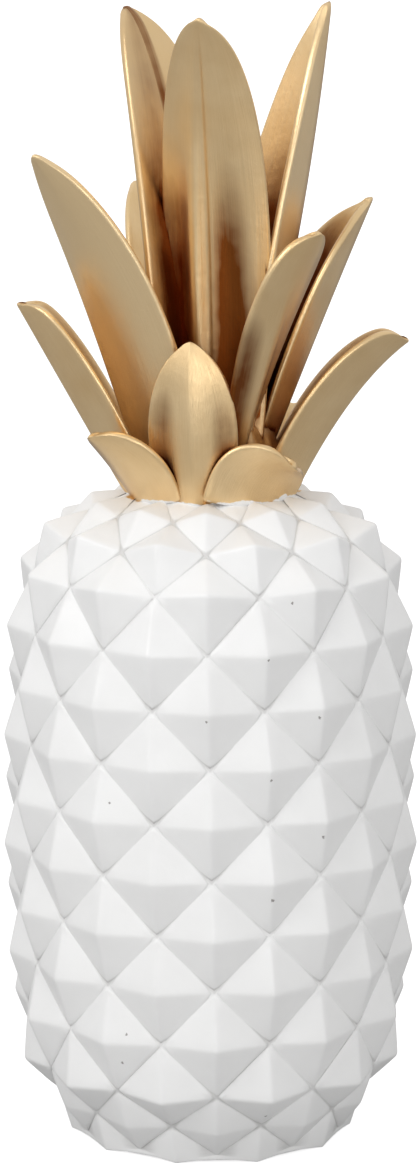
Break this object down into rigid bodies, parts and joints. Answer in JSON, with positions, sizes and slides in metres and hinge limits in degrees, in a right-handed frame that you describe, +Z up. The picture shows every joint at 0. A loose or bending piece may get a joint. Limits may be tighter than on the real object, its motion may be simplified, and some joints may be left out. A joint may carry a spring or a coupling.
{
  "type": "pineapple ornament",
  "caption": "Standing cast resin pineapple ornament: white barrel fruit with pyramid scales, flat scalloped foot, and a crown of curved gold leaves.",
  "frame": {"origin": "middle of the flat foot, on the surface that it stands on", "axes": "+Z up, from the foot to the crown; the front, with the tall middle leaf, faces -Y"},
  "size_m": [0.1122, 0.1133, 0.3045],
  "materials": {
    "white_paint": "satin white paint on cast resin",
    "gold_paint": "satin gold paint on cast resin, browned in the hollows"
  },
  "bodies": {
    "root": {"pineapple_casting": "white_paint"}
  },
  "joints": []
}
